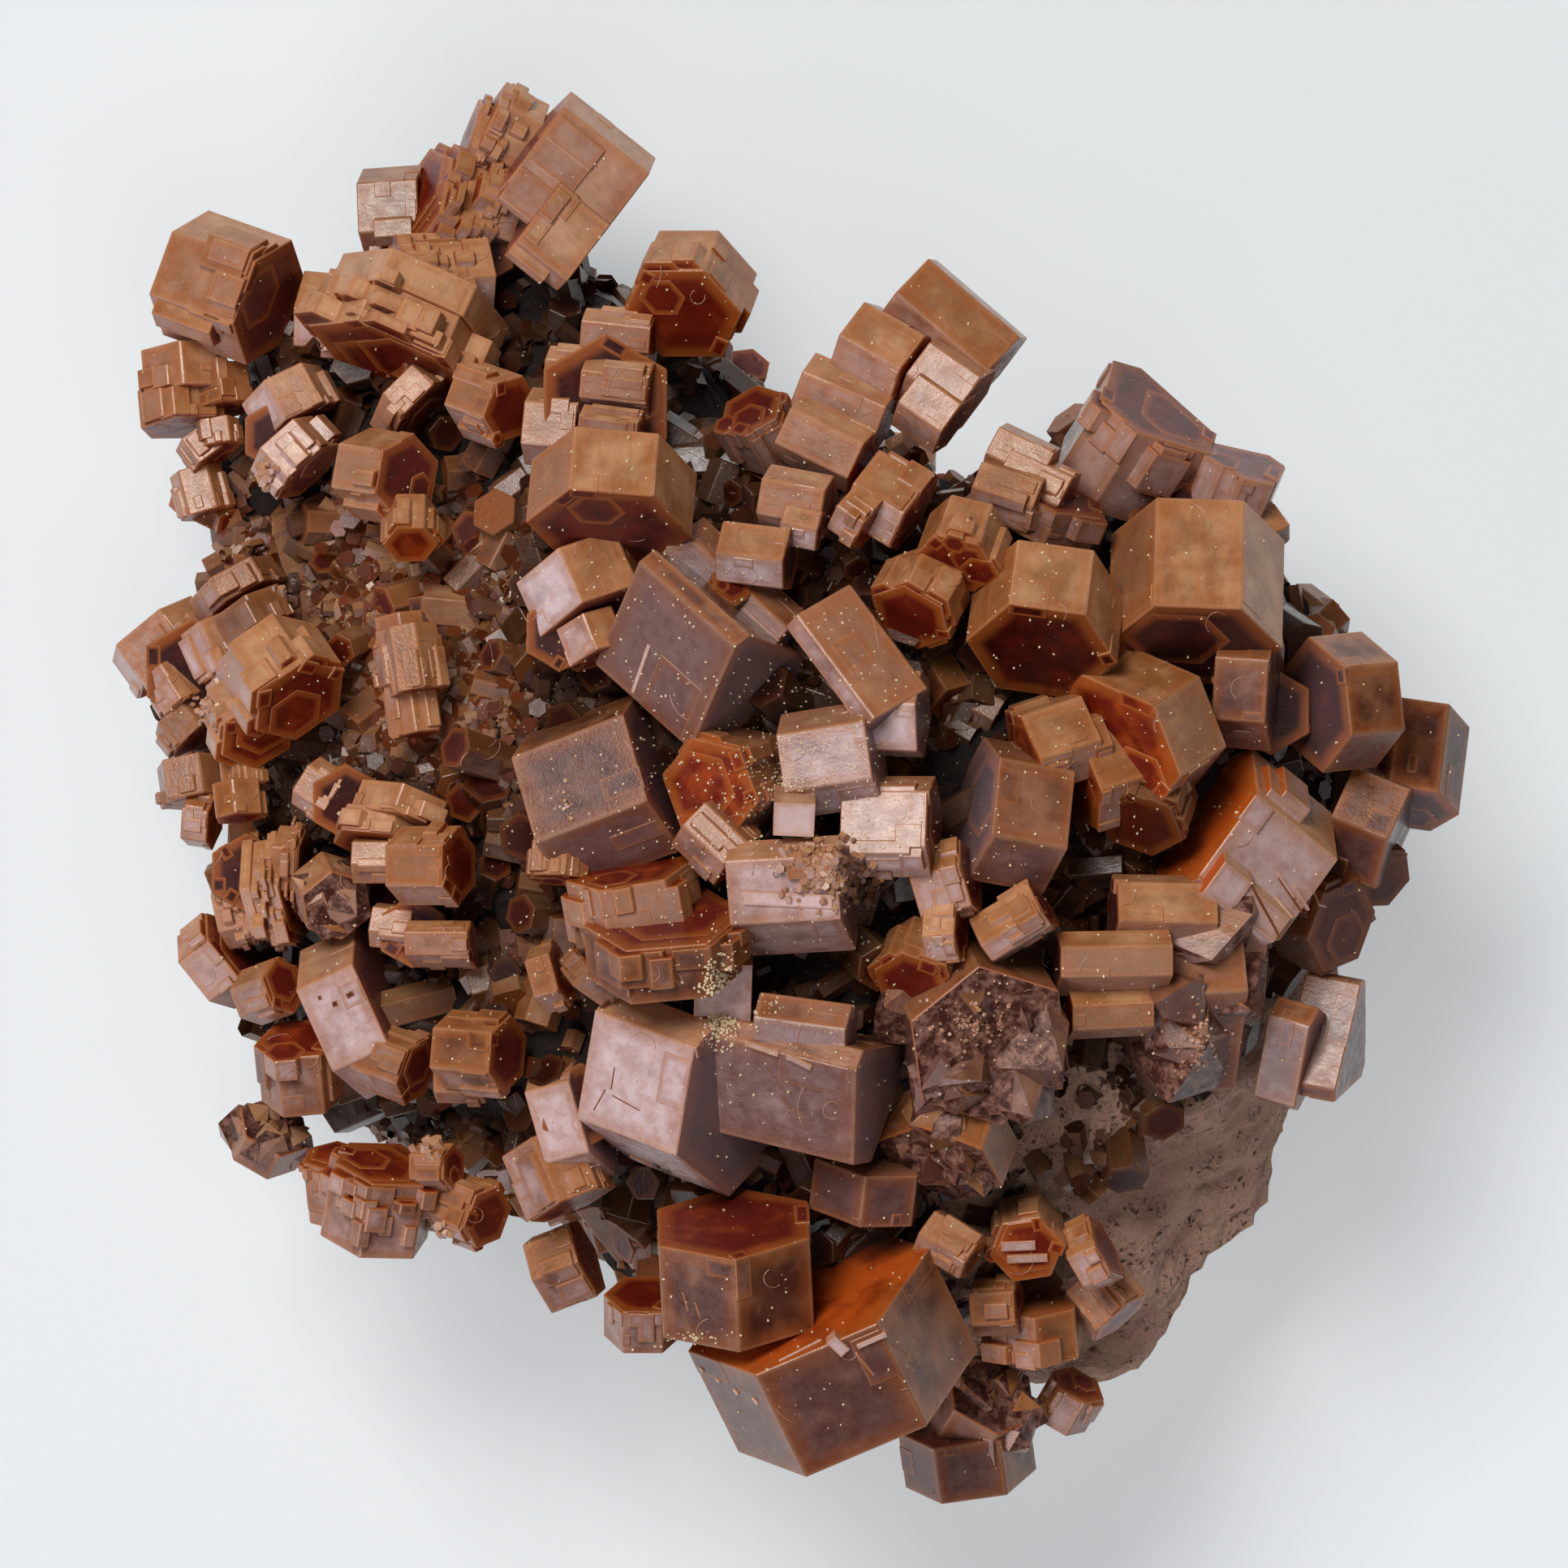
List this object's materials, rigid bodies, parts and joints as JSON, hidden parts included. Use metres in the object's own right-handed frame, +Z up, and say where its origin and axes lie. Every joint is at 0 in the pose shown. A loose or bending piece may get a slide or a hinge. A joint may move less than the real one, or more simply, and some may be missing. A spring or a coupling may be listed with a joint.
{
  "type": "vanadinite mineral specimen",
  "caption": "Short hexagonal vanadinite crystals with stepped brown sides and red-orange ends, grown together over a low dome of tan rock that rests on a flat cut.",
  "frame": {"origin": "centre of the bounding box, at the level of the flat underside", "axes": "+Z up, out of the crystal field, +Y the specimen's longest way, +X to the right as pictured"},
  "size_m": [0.0676, 0.0707, 0.035],
  "materials": {
    "bottom_edge_crystal": "satin prism faces, glossy end faces",
    "bottom_large_crystal": "satin prism faces, glossy end faces",
    "bottom_left_orange_crystal": "satin prism faces, glossy end faces",
    "bottom_orange_crystal": "satin prism faces, glossy end faces",
    "bottom_right_blocks": "satin prism faces, glossy end faces",
    "centre_bright_crystal": "satin prism faces, glossy end faces",
    "centre_left_block": "satin prism faces, glossy end faces",
    "centre_left_lavender_crystal": "satin prism faces, glossy end faces",
    "centre_left_orange_crystal": "satin prism faces, glossy end faces",
    "centre_light_crystal": "satin prism faces, glossy end faces",
    "centre_mauve_crystal": "satin prism faces, glossy end faces",
    "centre_pink_crystal": "satin prism faces, glossy end faces",
    "centre_right_mauve_crystal": "satin prism faces, glossy end faces",
    "centre_right_small_crystal": "satin prism faces, glossy end faces",
    "centre_top_mauve_crystal": "satin prism faces, glossy end faces",
    "centre_white_crystal": "satin prism faces, glossy end faces",
    "left_broken_crystal": "satin prism faces, glossy end faces",
    "left_lower_blocks": "satin prism faces, glossy end faces",
    "left_middle_blocks": "satin prism faces, glossy end faces",
    "left_pink_blocks": "satin prism faces, glossy end faces",
    "left_red_crystal": "satin prism faces, glossy end faces",
    "left_stacked_crystal": "satin prism faces, glossy end faces",
    "left_tip_crystal": "satin prism faces, glossy end faces",
    "left_upper_lavender_crystal": "satin prism faces, glossy end faces",
    "left_upper_red_crystal": "satin prism faces, glossy end faces",
    "lower_centre_lavender_crystal": "satin prism faces, glossy end faces",
    "lower_centre_mauve_crystal": "satin prism faces, glossy end faces",
    "lower_left_edge_crystal": "satin prism faces, glossy end faces",
    "lower_left_lavender_crystal": "satin prism faces, glossy end faces",
    "lower_left_orange_crystal": "satin prism faces, glossy end faces",
    "lower_left_red_crystal": "satin prism faces, glossy end faces",
    "lower_right_broken_crystal": "satin prism faces, glossy end faces",
    "lower_right_orange_crystal": "satin prism faces, glossy end faces",
    "lower_underside_crystal": "satin prism faces, glossy end faces",
    "matrix_rock": "rough, porous",
    "right_dark_hexagon": "satin prism faces, glossy end faces",
    "right_edge_crystal": "satin prism faces, glossy end faces",
    "right_lavender_crystal": "satin prism faces, glossy end faces",
    "right_lower_blocks": "satin prism faces, glossy end faces",
    "right_lower_broken_crystal": "satin prism faces, glossy end faces",
    "right_lower_laths": "satin prism faces, glossy end faces",
    "right_orange_crystal": "satin prism faces, glossy end faces",
    "right_upper_red_crystal": "satin prism faces, glossy end faces",
    "right_upper_tan_crystal": "satin prism faces, glossy end faces",
    "top_large_crystal": "satin prism faces, glossy end faces",
    "top_left_column": "satin prism faces, glossy end faces",
    "upper_centre_red_crystal": "satin prism faces, glossy end faces",
    "upper_hexagonal_crystal": "satin prism faces, glossy end faces",
    "upper_left_red_crystal": "satin prism faces, glossy end faces",
    "upper_left_tan_crystal": "satin prism faces, glossy end faces",
    "upper_middle_cluster": "satin prism faces, glossy end faces",
    "upper_right_light_pair": "satin prism faces, glossy end faces",
    "upper_right_long_crystal": "satin prism faces, glossy end faces",
    "upper_right_peak": "satin prism faces, glossy end faces",
    "upper_right_red_hexagon": "satin prism faces, glossy end faces",
    "upper_right_tan_crystal": "satin prism faces, glossy end faces"
  },
  "bodies": {
    "root": {"bottom_edge_crystal": "bottom_edge_crystal", "bottom_large_crystal": "bottom_large_crystal", "bottom_left_orange_crystal": "bottom_left_orange_crystal", "bottom_orange_crystal": "bottom_orange_crystal", "bottom_right_blocks": "bottom_right_blocks", "centre_bright_crystal": "centre_bright_crystal", "centre_left_block": "centre_left_block", "centre_left_lavender_crystal": "centre_left_lavender_crystal", "centre_left_orange_crystal": "centre_left_orange_crystal", "centre_light_crystal": "centre_light_crystal", "centre_mauve_crystal": "centre_mauve_crystal", "centre_pink_crystal": "centre_pink_crystal", "centre_right_mauve_crystal": "centre_right_mauve_crystal", "centre_right_small_crystal": "centre_right_small_crystal", "centre_top_mauve_crystal": "centre_top_mauve_crystal", "centre_white_crystal": "centre_white_crystal", "left_broken_crystal": "left_broken_crystal", "left_lower_blocks": "left_lower_blocks", "left_middle_blocks": "left_middle_blocks", "left_pink_blocks": "left_pink_blocks", "left_red_crystal": "left_red_crystal", "left_stacked_crystal": "left_stacked_crystal", "left_tip_crystal": "left_tip_crystal", "left_upper_lavender_crystal": "left_upper_lavender_crystal", "left_upper_red_crystal": "left_upper_red_crystal", "lower_centre_lavender_crystal": "lower_centre_lavender_crystal", "lower_centre_mauve_crystal": "lower_centre_mauve_crystal", "lower_left_edge_crystal": "lower_left_edge_crystal", "lower_left_lavender_crystal": "lower_left_lavender_crystal", "lower_left_orange_crystal": "lower_left_orange_crystal", "lower_left_red_crystal": "lower_left_red_crystal", "lower_right_broken_crystal": "lower_right_broken_crystal", "lower_right_orange_crystal": "lower_right_orange_crystal", "lower_underside_crystal": "lower_underside_crystal", "matrix_rock": "matrix_rock", "right_dark_hexagon": "right_dark_hexagon", "right_edge_crystal": "right_edge_crystal", "right_lavender_crystal": "right_lavender_crystal", "right_lower_blocks": "right_lower_blocks", "right_lower_broken_crystal": "right_lower_broken_crystal", "right_lower_laths": "right_lower_laths", "right_orange_crystal": "right_orange_crystal", "right_upper_red_crystal": "right_upper_red_crystal", "right_upper_tan_crystal": "right_upper_tan_crystal", "top_large_crystal": "top_large_crystal", "top_left_column": "top_left_column", "upper_centre_red_crystal": "upper_centre_red_crystal", "upper_hexagonal_crystal": "upper_hexagonal_crystal", "upper_left_red_crystal": "upper_left_red_crystal", "upper_left_tan_crystal": "upper_left_tan_crystal", "upper_middle_cluster": "upper_middle_cluster", "upper_right_light_pair": "upper_right_light_pair", "upper_right_long_crystal": "upper_right_long_crystal", "upper_right_peak": "upper_right_peak", "upper_right_red_hexagon": "upper_right_red_hexagon", "upper_right_tan_crystal": "upper_right_tan_crystal"}
  },
  "joints": []
}
